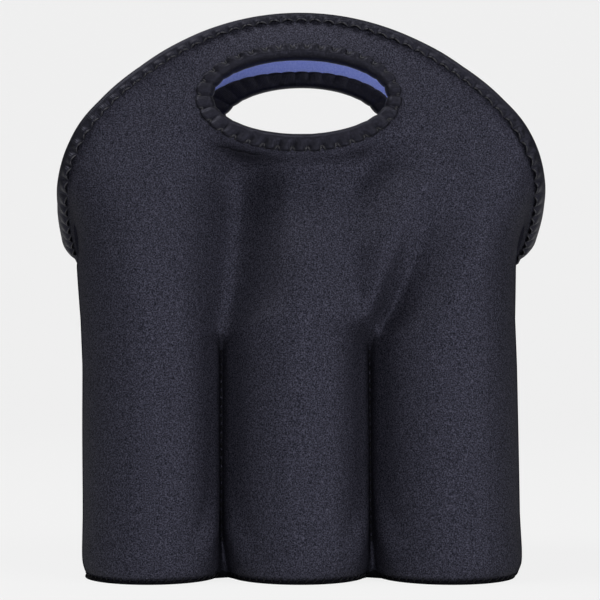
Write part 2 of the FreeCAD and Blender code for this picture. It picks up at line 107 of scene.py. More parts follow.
def placeAt(share):  # share of the half width, middle 0 to side seam 1
    run = share * halfRun
    for part, length in enumerate(outlineRuns):
        if run <= length or part == 3:
            return part, min(run / length, 1)
        run -= length


groove = {
    "fullBelow": 104 * mm,  # sewn deep up to here
    "valleyFrom": 130 * mm,  # a shallow valley is left from here
    "overlap": 10 * mm,  # it starts to fade this far below
    "goneAt": 196 * mm,
    "valleyDeep": 3.6 * mm,
    "softTip": 11 * mm,
    "least": 0.02 * mm,  # keeps the arc of a flat face finite
}


def grooveAt(z):
    sewn = 1 - smooth(groove["fullBelow"], groove["valleyFrom"], z)
    fadeFrom = groove["valleyFrom"] - groove["overlap"]
    left = groove["valleyDeep"] * (1 - smooth(fadeFrom, groove["goneAt"], z))
    depth = left + (shell["grooveDeep"] - left) * sewn
    tip = shell["grooveTip"] + (groove["softTip"] - shell["grooveTip"]) * (1 - sewn)
    return max(depth, groove["least"]), tip


def outlineAt(part, t, z, back=0):  # outer face of the front, or a line behind it, as x and y
    half, front = shell["pocketR"], shell["frontY"]
    step = min((z - shell["lowZ"]) / shell["baseRound"], 1)
    inset = shell["baseDraw"] * (1 - math.sqrt(max(1 - (1 - step) ** 2, 0))) + back
    if part < 2:
        depth, tip = grooveAt(z)
        reach = (half ** 2 + depth ** 2) / (2 * depth)
        angle = math.asin(half / reach)
        lobe = reach - tip
        run = (t if part == 0 else 1 - t) * angle * reach
        if run < lobe * angle:
            turn = run / lobe
            x = (lobe - inset) * math.sin(turn)
            y = lobe - front - (lobe - inset) * math.cos(turn)
        else:
            turn = angle - (run - lobe * angle) / tip
            x = half - (tip + inset) * math.sin(turn)
            y = lobe - front - reach * math.cos(angle) + (tip + inset) * math.cos(turn)
        return (x if part == 0 else 2 * half - x), y
    if part == 2:
        turn = t * math.pi / 2
        return 2 * half + (half - inset) * math.sin(turn), -half - (half - inset) * math.cos(turn)
    dip = shell["seamDip"] * smooth(shell["seamDipFrom"], 1, t)
    return shell["sideX"] - inset - dip, -half + t * outlineRuns[3]


# Rim of a flap: three tangent arcs a side on a unit half width, the flatter middle one closes the shape

rim = {"top": 0.9, "wing": 0.572, "topTurn": 26, "flankTurn": 47.3, "wingTurn": 20.8}  # turns in degrees
hook = {"from": 0.945, "in": 0.05}  # the wing ends turn in to the side seam
wing = {  # the wings flare to the front, and less at their ends
    "forward": 16 * mm,
    "from": 0.45,  # shares of the half width
    "full": 0.85,
    "endFrom": 0.88,
    "endLess": 0.5,
    "rise": 36 * mm,
}
curl = {"from": 94 * mm, "bend": 9}  # the top of a flap curls back, in 1/m


def rimArcs():
    first, second = math.radians(rim["topTurn"]), math.radians(rim["flankTurn"])
    last = math.radians(90 + rim["wingTurn"])
    spare = 1 - rim["top"] * math.sin(first) - rim["wing"] * (1 - math.sin(second))
    flank = spare / (math.sin(second) - math.sin(first))
    return [(rim["top"], 0, first), (flank, first, second), (rim["wing"], second, last)]


rimArcList = rimArcs()
rimUnitRun = sum(radius * (end - start) for radius, start, end in rimArcList)
rimUnitDrop = sum(radius * (math.cos(start) - math.cos(end)) for radius, start, end in rimArcList)


def rimUnit(share):
    run = share * rimUnitRun
    x = z = 0
    for radius, start, end in rimArcList:
        turn = min(start + run / radius, end)
        run -= radius * (turn - start)
        x += radius * (math.sin(turn) - math.sin(start))
        z += radius * (math.cos(turn) - math.cos(start))
    hooked = max(share - hook["from"], 0) / (1 - hook["from"])
    return x - hook["in"] * hooked ** 2, z / rimUnitDrop


def leanAt(share):
    flat = 2 * shell["pocketR"] / halfRun  # the middle stretch leans as one plane
    return shell["lean"] * (1 - max((share - flat) / (1 - flat), 0) ** shell["leanFade"])


# How the soft body stands: outward move in mm of its left and right side, by height in mm
slouch = [
    (0, -0.4, -0.4), (1.7, -2.2, -0.5), (7, -1.6, 0.4), (14, -1.5, 0.3), (30, -1.6, -0.6), (60, -1.6, -1.1),
    (100, -1.4, -1.8), (122, -0.6, -2.6),
    (147, 1.3, -1.9), (153, 0.8, -1.2), (162, -0.9, -1.7), (177, -2.7, -2.0), (204, -3.0, -1.2),
    (223, -2.4, -0.4), (234, -1.0, 1.0), (246, 0.6, 2.4), (256, 1.5, 2.1), (268, 0, 0),
]
grooveSkew = {  # grooves are pulled to the left as they go in, and less near the base
    "left": 0.1,
    "right": 0.06,
    "atBase": 0.04,
    "lowZ": 2 * mm,
    "highZ": 26 * mm,
}
grooveClose = {  # pockets press together inside a groove, and further out near the base
    "from": 15 * mm,
    "span": 9 * mm,
    "share": 0.6,
    "lower": 9 * mm,
    "lowZ": 12 * mm,
    "highZ": 50 * mm,
}


def tucked(x, y, part, z):  # sideways pull on a point of the outline, x with its sign
    if part > 1:
        return x
    full = grooveSkew["left" if x < 0 else "right"]
    high = smooth(grooveSkew["lowZ"], grooveSkew["highZ"], z)
    pull = grooveSkew["atBase"] + (full - grooveSkew["atBase"]) * high
    deep = y + shell["frontY"]
    middle = math.copysign(shell["pocketR"], x)
    low = 1 - smooth(grooveClose["lowZ"], grooveClose["highZ"], z)
    begin = grooveClose["from"] - grooveClose["lower"] * low
    pressed = high * grooveClose["share"] * smooth(begin, begin + grooveClose["span"], deep)
    return middle + (x - middle) * (1 - pressed) - pull * deep


def slouched(x, z):
    high = min(max(z / mm, slouch[0][0]), slouch[-1][0])
    for low, top in zip(slouch, slouch[1:]):
        if high <= top[0]:
            t = (high - low[0]) / (top[0] - low[0])
            side = 1 if x < 0 else 2
            move = low[side] + (top[side] - low[side]) * t
            return x * (1 + move * mm / shell["sideX"])


def leanBack(share, z):
    rise = z - shell["foldZ"]
    aside = min(abs(share), 1)
    back = leanAt(aside) * (rise + math.hypot(rise, shell["leanSoft"])) / 2
    back += curl["bend"] * max(rise - curl["from"], 0) ** 2
    atEnd = smooth(wing["endFrom"], 1, aside)
    flare = smooth(wing["from"], wing["full"], aside) * (1 - wing["endLess"] * atEnd)
    return back - wing["forward"] * flare * smooth(0, wing["rise"], rise)


def panelAt(share, level):
    # Outer face of the front panel: share -1 to 1 from seam to seam, level 0 to 1 from base to cut edge
    part, t = placeAt(min(abs(share), 1))
    unitX, drop = rimUnit(min(abs(share), 1))
    top = shell["rimRise"] + drop * (shell["rimRise"] - shell["wingEndRise"])
    z = shell["lowZ"] + (shell["foldZ"] + top - shell["lowZ"]) * level
    rise = z - shell["foldZ"]
    x, y = outlineAt(part, t, z)
    pulled = tucked(math.copysign(x, share), y, part, z)
    if rise > 0:
        half, bend = shell["pocketR"], shell["pocketR"] - shell["halfPanel"]
        turn = [0, 0, t * math.pi / 2, math.pi / 2][part]
        footX = half * (part + t) if part < 2 else 2 * half + bend * math.sin(turn)
        soft = 0.15
        ease = (math.hypot(rise / top, soft) - soft) / (math.hypot(1, soft) - soft)
        pulled += math.copysign((unitX * shell["rimHalf"] - footX) * ease, share)
    return Vector((slouched(pulled, z), y + leanBack(share, z), z))


# Small helpers for meshes


def clothGrid(columns, rows, place):
    # Grid whose points go where place(u, v) says, with the cloth's own lengths as its UV map
    bm = bmesh.new()
    uvLayer = bm.loops.layers.uv.new("cloth")
    bmesh.ops.create_grid(bm, x_segments=columns, y_segments=rows, size=0.5)
    flat = {}
    for vert in bm.verts:
        vert.co, flat[vert] = place(vert.co.x + 0.5, vert.co.y + 0.5)
    for face in bm.faces:
        for loop in face.loops:
            loop[uvLayer].uv = flat[loop.vert]
    return bm


def addPiece(bm, name, finish, facing="front"):
    if facing == "rear":  # twin of the front: mirrored, its faces turned back out, hanging a little aside
        bmesh.ops.scale(bm, vec=(1, -1, 1), verts=bm.verts)
        bmesh.ops.reverse_faces(bm, faces=bm.faces)
        rimTop = shell["foldZ"] + shell["rimRise"]
        for vert in bm.verts:
            vert.co.x += shell["rearAside"] * smooth(shell["foldZ"], rimTop, vert.co.z)
    mesh = bpy.data.meshes.new(name)
    bm.to_mesh(mesh)
    bm.free()
    mesh.shade_smooth()
    mesh.materials.append(finish)
    piece = bpy.data.objects.new(name, mesh)
    bpy.context.collection.objects.link(piece)
    return piece


def thicken(piece, thickness, offset=-1):
    wall = piece.modifiers.new("thickness", "SOLIDIFY")
    wall.thickness = thickness
    wall.offset = offset


def addStitch(bm, start, end, up, thick, arch, sink):
    # One visible stitch: a bent grain of thread whose ends go into the cloth
    reach = (end - start) / 2
    middle = (start + end) / 2
    side = up.cross(reach).normalized()
    for vert in bmesh.ops.create_uvsphere(bm, u_segments=6, v_segments=6, radius=1)["verts"]:
        across, high, along = vert.co
        lift = arch * (1 - along ** 2) - sink * along ** 4
        vert.co = middle + reach * along + side * (thick * across) + up * (thick * high + lift)


def bendWithFlap(piece):
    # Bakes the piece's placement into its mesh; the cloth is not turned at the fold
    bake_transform(piece)


# Finishes


def linear(hexColour):
    channels = [int(hexColour[at:at + 2], 16) / 255 for at in (1, 3, 5)]
    return [c / 12.92 if c <= 0.04045 else ((c + 0.055) / 1.055) ** 2.4 for c in channels] + [1]


def addNode(tree, kind, settings={}, links={}):
    node = tree.nodes.new(kind)
    for key, setting in settings.items():
        if key == "stops":
            stops = node.color_ramp.elements
            while len(stops) < len(setting):
                stops.new(0.5)
            for stop, (place, hexColour) in zip(stops, setting):
                stop.position = place
                stop.color = linear(hexColour)
        elif isinstance(key, str) and hasattr(node, key):
            setattr(node, key, setting)
        else:
            node.inputs[key].default_value = setting
    for key, source in links.items():
        tree.links.new(source, node.inputs[key])
    return node


def startFinish(name):
    finish = bpy.data.materials.new(name)
    finish.use_nodes = True
    tree = finish.node_tree
    tree.nodes.clear()
    return finish, tree, addNode(tree, "ShaderNodeTexCoord")


waveUnit = 0.314  # a wave texture of scale 1 repeats after this many metres

# Knitted jersey laminated on foam: a soft broad gloss, finely flecked where single loops catch the light
jerseyLooks = {
    "blackJersey": {
        "stops": [(0.3, "#0b0b0f"), (0.5, "#1b1b22"), (0.64, "#2c2c36"), (0.78, "#4c4c56")],
        "fleck": 0.6,  # mm, about one loop
        "loop": 0.9,
        "gloss": 0.35,
        "bump": 0.08,
    },
    "blueJersey": {
        "stops": [(0.25, "#8a99ec"), (0.5, "#98a7f6"), (0.75, "#a6b4fa"), (0.9, "#b8c4fd")],
        "fleck": 0.9,
        "loop": 0.9,
        "gloss": 0.1,
        "bump": 0.08,
    },
    "paintedShadeBase": {  # near-black as painted shade, so the base edge reads as the shaded line under the bulging pockets; matt, coarser bumps in place of loops
        "stops": [(0.3, "#040405"), (0.5, "#08080a"), (0.64, "#0d0d10"), (0.78, "#141418")],
        "fleck": 0.8,
        "loop": 1.2,
        "gloss": 0.05,
        "bump": 0.05,
    },
}

# Gloss follows the fleck between low and high, as shares of a look's own, and fades as the cloth turns away
loopGloss = {"low": 0.36, "high": 0.64, "least": 0.3, "most": 1.8, "square": 0.15, "turned": 0.85}


def jersey(name):
    look = jerseyLooks[name]
    finish, tree, coords = startFinish(name)
    fleck = addNode(
        tree, "ShaderNodeTexNoise",
        {"Scale": 1 / (look["fleck"] * mm), "Detail": 2.5, "Roughness": 0.6},
        {"Vector": coords.outputs["Object"]},
    )
    colour = addNode(
        tree, "ShaderNodeValToRGB", {"stops": look["stops"]}, {"Fac": fleck.outputs["Fac"]}
    )
    wales = addNode(
        tree, "ShaderNodeTexWave",
        {"bands_direction": "X", "Scale": waveUnit / (look["loop"] * mm), "Distortion": 2, "Detail": 1},
        {"Vector": coords.outputs["UV"]},
    )
    height = addNode(
        tree, "ShaderNodeMath", {"operation": "ADD"}, {0: fleck.outputs["Fac"], 1: wales.outputs["Fac"]}
    )
    bump = addNode(
        tree, "ShaderNodeBump",
        {"Strength": look["bump"], "Distance": 0.25 * mm},
        {"Height": height.outputs[0]},
    )
    gloss = addNode(
        tree, "ShaderNodeMapRange",
        {
            "From Min": loopGloss["low"],
            "From Max": loopGloss["high"],
            "To Min": loopGloss["least"] * look["gloss"],
            "To Max": loopGloss["most"] * look["gloss"],
        },
        {"Value": fleck.outputs["Fac"]},
    )
    turned = addNode(tree, "ShaderNodeLayerWeight", {"Blend": 0.5})
    square = addNode(
        tree, "ShaderNodeMapRange",
        {"From Min": loopGloss["square"], "From Max": loopGloss["turned"], "To Min": 1, "To Max": 0},
        {"Value": turned.outputs["Facing"]},
    )
    sheen = addNode(
        tree, "ShaderNodeMath", {"operation": "MULTIPLY"},
        {0: gloss.outputs["Result"], 1: square.outputs["Result"]},
    )
    shader = addNode(
        tree, "ShaderNodeBsdfPrincipled",
        {"Roughness": 0.6, "Specular IOR Level": look["gloss"], "Specular Tint": linear("#d9d9ff")},
        {
            "Base Color": colour.outputs["Color"],
            "Specular IOR Level": sheen.outputs["Value"],
            "Normal": bump.outputs["Normal"],
        },
    )
    addNode(tree, "ShaderNodeOutputMaterial", {}, {"Surface": shader.outputs["BSDF"]})
    return finish


# Stretch binding tape: knitted elastic folded over the edge, fine ribs across it
tapeLook = {
    "stops": [(0.3, "#0c0c0f"), (0.55, "#16161b"), (0.75, "#222229")],
    "fleck": 1.1,  # mm
    "rib": 0.8,
    "bump": 0.3,
}


def stretchTape():
    finish, tree, coords = startFinish("stretchTape")
    fleck = addNode(
        tree, "ShaderNodeTexNoise",
        {"Scale": 1 / (tapeLook["fleck"] * mm), "Detail": 2, "Roughness": 0.6},
        {"Vector": coords.outputs["Object"]},
    )
    colour = addNode(
        tree, "ShaderNodeValToRGB", {"stops": tapeLook["stops"]}, {"Fac": fleck.outputs["Fac"]}
    )
    ribs = addNode(
        tree, "ShaderNodeTexWave",
        {"bands_direction": "X", "Scale": waveUnit / (tapeLook["rib"] * mm), "Distortion": 1.5},
        {"Vector": coords.outputs["UV"]},
    )
    bump = addNode(
        tree, "ShaderNodeBump",
        {"Strength": tapeLook["bump"], "Distance": 0.2 * mm},
        {"Height": ribs.outputs["Fac"]},
    )
    shader = addNode(
        tree, "ShaderNodeBsdfPrincipled",
        {"Roughness": 0.45, "Specular IOR Level": 0.22, "Specular Tint": linear("#d9d9ff")},
        {"Base Color": colour.outputs["Color"], "Normal": bump.outputs["Normal"]},
    )
    addNode(tree, "ShaderNodeOutputMaterial", {}, {"Surface": shader.outputs["BSDF"]})
    return finish


# Twisted polyester thread: filaments give it a dull shine along the strand
# the seam thread is drawn darker than the tape thread as painted shade, for stitches that lie deep in the
# grooves and at the foot of the pockets
threadLooks = {
    "tapeThread": {"stops": [(0.3, "#1a1a1e"), (0.7, "#38383e")], "gloss": 0.4},
    "shadeDarkSeamThread": {"stops": [(0.3, "#0b0b0e"), (0.7, "#17171c")], "gloss": 0.12},
}
threadTwist = 0.5 * mm


def sewingThread(name):
    look = threadLooks[name]
    finish, tree, coords = startFinish(name)
    strand = addNode(
        tree, "ShaderNodeTexNoise",
        {"Scale": 1 / threadTwist, "Detail": 1},
        {"Vector": coords.outputs["Object"]},
    )
    colour = addNode(
        tree, "ShaderNodeValToRGB", {"stops": look["stops"]}, {"Fac": strand.outputs["Fac"]}
    )
    shader = addNode(
        tree, "ShaderNodeBsdfPrincipled",
        {"Roughness": 0.45, "Specular IOR Level": look["gloss"]},
        {"Base Color": colour.outputs["Color"]},
    )
    addNode(tree, "ShaderNodeOutputMaterial", {}, {"Surface": shader.outputs["BSDF"]})
    return finish


blackJersey, blueJersey, paintedShadeBase = [jersey(name) for name in jerseyLooks]
stretchTapeFinish = stretchTape()
tapeThread, shadeDarkSeamThread = sewingThread("tapeThread"), sewingThread("shadeDarkSeamThread")
print("finishes ready")

# Panels: one cut of neoprene from base to rim, with its lining behind it

panel = {
    "columns": [26, 26, 22, 12],  # per stretch of the half outline
    "rows": 124,
    "crowd": 0.6,  # how far columns gather at the grooves
    "noise": 0.45 * mm,
    "noiseSize": 48 * mm,
    "noiseFullAt": 30 * mm,  # height
    "flat": (0.368, 0.266),  # cloth across the pockets and into the grooves, and from base to rim
}

# Hollows of the slack cloth over the grooves, in mm: height, middle across, width to its left and right, depth
hollows = {
    "left": [
        (94, -35, 12, 12, 0), (108, -35, 15, 14, 13), (119, -35, 21, 20, 21), (132, -33, 26, 29, 24),
        (150, -31, 31, 34, 25), (172, -29, 34, 37, 25), (190, -29, 36, 38, 21), (206, -30, 36, 39, 8),
        (222, -31, 36, 40, 0),
    ],
    "rightCrease": [
        (94, 35, 12, 12, 0), (108, 36, 14, 15, 13), (119, 38, 15, 21, 20), (130, 43, 16, 25, 18),
        (146, 50, 17, 28, 14), (164, 56, 19, 29, 9), (192, 64, 20, 28, 0),
    ],
    "right": [
        (112, 33, 14, 14, 0), (124, 31, 19, 14, 8), (140, 26, 26, 18, 10), (156, 24, 30, 22, 10),
        (178, 26, 34, 29, 12), (192, 30, 35, 31, 11), (208, 33, 35, 31, 4), (222, 34, 34, 30, 0),
    ],
    "middle": [(140, 0, 36, 36, 0), (172, 2, 40, 40, 8), (190, 4, 42, 42, 8), (212, 4, 42, 42, 0)],
}
hollowForm = {"round": 3.5, "fall": 2.2, "power": 1.6, "merge": 3}  # rounded floor, slope, and how they join

handle = {
    "wide": 40.5 * mm,  # clear opening, half width and half height
    "high": 18.75 * mm,
    "drop": 42.5 * mm,  # middle of the opening below the top of the rim
    "rimReach": 2.5 * mm,  # the rim's tape stands this far above the cut edge
    "cutBack": 2.5 * mm,  # the cut edge lies this far inside the tape
    "cutAbove": 20 * mm,  # over the fold
    "sliver": 0.8 * mm,  # shorter sides of cells at the cut are closed up
}
handleCalm = {"grow": 6 * mm, "from": 1.06, "to": 1.4}  # the cloth lies plain near the handle tape


def columnShare(u):
    # Even columns, gathered towards the grooves
    slack = 1e-6
    at = abs(2 * u - 1) * sum(panel["columns"])
    run = 0
    for part, count in enumerate(panel["columns"]):
        if at <= count + slack or part == 3:
            t = min(at / count, 1)
            crowded = [math.sin(t * math.pi / 2), 1 - math.cos(t * math.pi / 2), t, t][part]
            run += outlineRuns[part] * (t + (crowded - t) * panel["crowd"])
            return math.copysign(run / halfRun, u - 0.5)
        at -= count
        run += outlineRuns[part]


def handleFrame():
    # Middle of the handle on the panel's mid plane, and the directions up the flap and out of it
    top = shell["foldZ"] + shell["rimRise"]
    level = (top + handle["rimReach"] - handle["drop"] - shell["lowZ"]) / (top - shell["lowZ"])
    nudge = 0.05
    up = (panelAt(0, level + nudge) - panelAt(0, level - nudge)).normalized()
    out = Vector((1, 0, 0)).cross(up)
    return panelAt(0, level) - out * shell["halfPanel"], up, out


handleMiddle, handleUp, handleOut = handleFrame()


def ovalShare(point, grow):  # below 1 inside the handle oval grown all round
    across = point.x / (handle["wide"] + grow)
    along = (point - handleMiddle).dot(handleUp) / (handle["high"] + grow)
    return math.hypot(across, along)


def calmShare(point):  # 0 at the handle tape, 1 away from it
    if point.z <= shell["foldZ"]:
        return 1
    return smooth(handleCalm["from"], handleCalm["to"], ovalShare(point, handleCalm["grow"]))


def curveAt(points, z):  # smooth curve through points given by height
    least = 1e-6
    index = max(i for i in range(len(points) - 1) if points[i][0] <= z)
    around = [points[min(max(index + i, 0), len(points) - 1)] for i in (-1, 0, 1, 2)]
    span = around[2][0] - around[1][0]
    t = (z - around[1][0]) / span
    result = []
    for item in range(1, len(points[0])):
        values = [point[item] for point in around]
        rise = (values[2] - values[0]) / max(around[2][0] - around[0][0], least) * span
        fall = (values[3] - values[1]) / max(around[3][0] - around[1][0], least) * span
        result.append(
            values[1] * (1 + 2 * t) * (1 - t) ** 2 + rise * t * (1 - t) ** 2
            + values[2] * t * t * (3 - 2 * t) - fall * t * t * (1 - t)
        )
    return result


def hollowAt(x, z):  # depth behind the front plane, both in mm
    total = 0
    for points in hollows.values():
        if points[0][0] <= z < points[-1][0]:
            middle, left, right, deep = curveAt(points, z)
            away = math.hypot(x - middle, hollowForm["round"]) / (left if x < middle else right)
            fall = math.exp(-hollowForm["fall"] * away ** hollowForm["power"])
            total += (max(deep, 0) * fall) ** hollowForm["merge"]
    return total ** (1 / hollowForm["merge"])


def sinkIn(point, share):  # how far the cloth lies behind its plain shape, easing into the grooves
    soft = 2 * mm
    deep = point.y + shell["frontY"] - leanBack(share, point.z)
    below = hollowAt(point.x / mm, point.z / mm) * mm - deep
    return (below + math.hypot(below, soft) + deep - math.hypot(deep, soft)) / 2


def cutHandleHole(bm):
    lowest = shell["foldZ"] + handle["cutAbove"]
    near = [f for f in bm.faces if f.calc_center_median().z > lowest]
    inside = [f for f in near if all(ovalShare(v.co, handle["cutBack"]) < 1 for v in f.verts)]
    edgeVerts = {v for f in inside for v in f.verts}
    bmesh.ops.delete(bm, geom=inside, context="FACES")
    for vert in edgeVerts:
        if vert.is_valid and vert.is_boundary:
            away = vert.co - handleMiddle
            off = handleOut * away.dot(handleOut)
            vert.co = handleMiddle + (away - off) / ovalShare(vert.co, handle["cutBack"]) + off
    atCut = [e for e in bm.edges if any(v in edgeVerts for v in e.verts)]
    bmesh.ops.dissolve_degenerate(bm, dist=handle["sliver"], edges=atCut)


def makePanel(seed):
    def place(u, v):
        share = columnShare(u)
        point = panelAt(share, v)
        point.y += sinkIn(point, share) * calmShare(point)
        return point, (share * halfRun, point.z)

    bm = clothGrid(2 * sum(panel["columns"]), panel["rows"], place)
    bm.normal_update()
    places = {}
    for vert in bm.verts:
        free = calmShare(vert.co) * smooth(shell["lowZ"], panel["noiseFullAt"], vert.co.z)
        wave = noise.noise(Vector((vert.co.x, vert.co.z, seed)) / panel["noiseSize"])
        places[vert] = vert.co + vert.normal * panel["noise"] * wave * free
    for vert, point in places.items():
        vert.co = point
    cutHandleHole(bm)
    bm.normal_update()
    liner = bm.copy()
    for vert in liner.verts:
        vert.co -= vert.normal * (shell["cloth"] + shell["linerGap"])
    return bm, liner


for facing, seed in (("front", 3), ("rear", 8)):
    faceCloth, linerCloth = makePanel(seed)
    flatArea = sum(f.calc_area() for f in faceCloth.faces)
    linerArea = sum(f.calc_area() for f in linerCloth.faces)
    facePiece = addPiece(faceCloth, facing + "_panel", blackJersey, facing)
    thicken(facePiece, shell["cloth"])
    linerPiece = addPiece(linerCloth, facing + "_lining", blueJersey, facing)
    thicken(linerPiece, shell["liner"])
    for piece, area in ((facePiece, flatArea), (linerPiece, linerArea)):
        bendWithFlap(piece)
    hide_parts(facing + "_pocket_wall", facing + "_wing_gussets", facing + "_handle_flap")
    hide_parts(facing + "_pocket_lining", facing + "_flap_lining")
print("panels and linings ready")

# Base, divider and webs

base = {
    "steps": 260,
    "edge": 0.6 * mm,
    "back": 0.5 * mm,  # behind the face of the panels
    "lip": 1.7 * mm,  # its foot spreads below this height
    "area": 0.0262,  # laid flat, in square metres
}


def baseEdge(number, z):  # edge point by its number round the base, as x and y
    lap = 4 * number / base["steps"]
    share = lap - 1 if lap < 2 else 3 - lap
    part, t = placeAt(abs(share))
    x, y = outlineAt(part, t, shell["lowZ"], base["back"])
    x = slouched(tucked(math.copysign(x, share), y, part, 0), z)
    return x, y if lap < 2 else -y


def makeBase():
    bm = bmesh.new()
    bmesh.ops.create_circle(bm, cap_ends=True, segments=base["steps"], radius=1)
    bm.verts.ensure_lookup_table()
    numbers = {}
    for number, vert in enumerate(bm.verts):
        vert.co = (*baseEdge(number, 0), 0)
        numbers[vert.co.xy.to_tuple(6)] = number
    bmesh.ops.recalc_face_normals(bm, faces=bm.faces)
    lifted = bmesh.ops.extrude_face_region(bm, geom=bm.faces[:])
    for vert in [g for g in lifted["geom"] if isinstance(g, bmesh.types.BMVert)]:
        number = numbers[vert.co.xy.to_tuple(6)]
        vert.co = (*baseEdge(number, base["lip"]), baseHigh.z)
    bmesh.ops.recalc_face_normals(bm, faces=bm.faces)
    rims = [e for e in bm.edges if any(len(f.verts) > 4 for f in e.link_faces)]  # top and bottom edge
    bmesh.ops.bevel(
        bm, geom=rims, offset=base["edge"], segments=3, profile=0.5, affect="EDGES", material=-1
    )
    # the base takes the near-black painted-shade finish, for the shaded line at the foot of the pockets
    piece = addPiece(bm, "base", paintedShadeBase)
    for face in piece.data.polygons:
        face.use_smooth = len(face.vertices) == 4
    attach(piece, "pockets")
    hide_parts("base_panel")


makeBase()

walls = {
    "cloth": 3 * mm,
    "cell": 4 * mm,
    "edge": 0.7 * mm,
    "wave": 0.7 * mm,
    "waveLong": 40 * mm,
    "waveTilt": 3,
    "outerEnd": 50 * mm,  # a start farther out than this is drawn in too
}


def makeWall(name, start, end, top, node):
    # Upright sheet of neoprene from start to end, a little wavy, its foot drawn in as the pockets are
    run = (end - start).length
    along = (end - start).normalized()
    out = along.cross(Vector((0, 0, 1)))

    def place(u, v):
        z = start.z + v * (top - start.z)
        draw = shell["baseDraw"] * (1 - min((z - start.z) / shell["baseRound"], 1))
        at = start + (end - start) * u - along * draw * max(2 * u - 1, 0)
        at += along * draw * max(1 - 2 * u, 0) * (start.length > walls["outerEnd"])
        swing = math.sin(u * math.pi) * math.sin(u * run / walls["waveLong"] + v * walls["waveTilt"])
        at += out * walls["wave"] * swing
        return Vector((at.x, at.y, z)), (u * run, z)

    bm = clothGrid(round(run / walls["cell"]), round((top - start.z) / walls["cell"]), place)
    piece = addPiece(bm, name, blackJersey)
    thicken(piece, walls["cloth"], 0)
    soften = piece.modifiers.new("edges", "BEVEL")
    soften.width = walls["edge"]
    soften.segments = 2
    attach(piece, "pockets")
    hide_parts(node)


lowWall = baseHigh.z
makeWall(
    "divider", Vector((dividerLow.x, 0, lowWall)), Vector((dividerHigh.x, 0, lowWall)),
    dividerHigh.z, "centre_divider",
)
for row in ("front", "rear"):
    for side in ("left", "right"):
        node = f"{row}_{side}_web"
        low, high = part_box(node)
        near, far = (high.y, low.y) if row == "front" else (low.y, high.y)
        middleX = (low.x + high.x) / 2
        makeWall(
            f"{row}_{side}_cross_web", Vector((middleX, near, lowWall)), Vector((middleX, far, lowWall)),
            high.z, node,
        )
print("base and inner walls ready")

# Binding tape: folded over the cut edge, pressed in at every stitch and full between them

tape = {
    "reach": 2.5 * mm,  # beyond the cut edge
    "cover": 4.2 * mm,  # on the face
    "wingExtra": 2.4 * mm,  # broader on the wings, by shares of the half width
    "wingFrom": 0.5,
    "wingFull": 0.8,
    "wingEnd": 0.93,
    "full": 2.5 * mm,  # stands this far off the panel
    "pinch": 2.3 * mm,  # pressed in at a stitch
    "arch": 0.6 * mm,  # its edge rises between stitches
    "nose": 1.5 * mm,  # fullness at the fold
    "noseStart": -0.6 * mm,  # the fold turns from here
    "pillow": 0.85,  # how round it is between stitches
    "lip": 1.1 * mm,
    "wall": 0.6 * mm,
    "wide": 19 * mm,  # laid flat
    "pitch": 6.8 * mm,
    "rows": 30,
    "perStitch": 9,
}


def tapeSection(v, cover, full, noseFull, lip, reach):
    # Beyond the cut edge, and out from mid panel, along the folded tape from its outer to its inner edge
    side = 1 if v <= 0.5 else -1
    near = 1 - abs(2 * v - 1)  # 0 at an edge, 1 at the fold
    lipEnd, faceEnd = 0.2, 0.6
    face = shell["halfPanel"] + full
    noseFace = shell["halfPanel"] + noseFull
    noseStart = tape["noseStart"]
    if near < lipEnd:
        turn = near / lipEnd * math.pi / 2
        return lip * (1 - math.cos(turn)) - cover, side * (face - lip * (1 - math.sin(turn)))
    if near < faceEnd:
        t = (near - lipEnd) / (faceEnd - lipEnd)
        beyond = lip - cover + (noseStart + cover - lip) * t
        return beyond, side * (face + (noseFace - face) * t * t * (3 - 2 * t))
    turn = (near - faceEnd) / (1 - faceEnd) * math.pi / 2
    return noseStart + (reach - noseStart) * math.sin(turn), side * noseFace * math.cos(turn)


def pillow(phase):  # 0 at a stitch, 1 half way to the next
    return abs(math.sin(math.pi * phase)) ** tape["pillow"]


def rimFrame(share):
    nudge, below = 1e-3, 0.98
    low, high = max(share - nudge, -1), min(share + nudge, 1)
    along = (panelAt(high, 1) - panelAt(low, 1)).normalized()
    up = (panelAt(share, 1) - panelAt(share, below)).normalized()
    out = along.cross(up).normalized()
    return panelAt(share, 1) - out * shell["halfPanel"], along, out.cross(along), out


rimSteps = 900
rimShares = [2 * step / rimSteps - 1 for step in range(rimSteps + 1)]
rimPoints = [rimFrame(share)[0] for share in rimShares]
rimRuns = [0]
for low, high in zip(rimPoints, rimPoints[1:]):
    rimRuns.append(rimRuns[-1] + (high - low).length)
rimLength = rimRuns[-1]


def rimShareAt(run):
    index = min(max(bisect.bisect(rimRuns, run), 1), rimSteps)
    low, high = rimRuns[index - 1], rimRuns[index]
    return rimShares[index - 1] + (run - low) / (high - low) * (rimShares[index] - rimShares[index - 1])


def onRim(run, beyond, out):
    middle, _, up, normal = rimFrame(rimShareAt(run))
    return middle + up * beyond + normal * out, normal


def rimCover(share):  # the tape is laid broader on the wings
    aside = abs(share)
    onWing = smooth(tape["wingFrom"], tape["wingFull"], aside)
    return tape["cover"] + tape["wingExtra"] * onWing * (1 - smooth(tape["wingEnd"], 1, aside))


rimStitches = round(rimLength / tape["pitch"])
rimPitch = rimLength / rimStitches


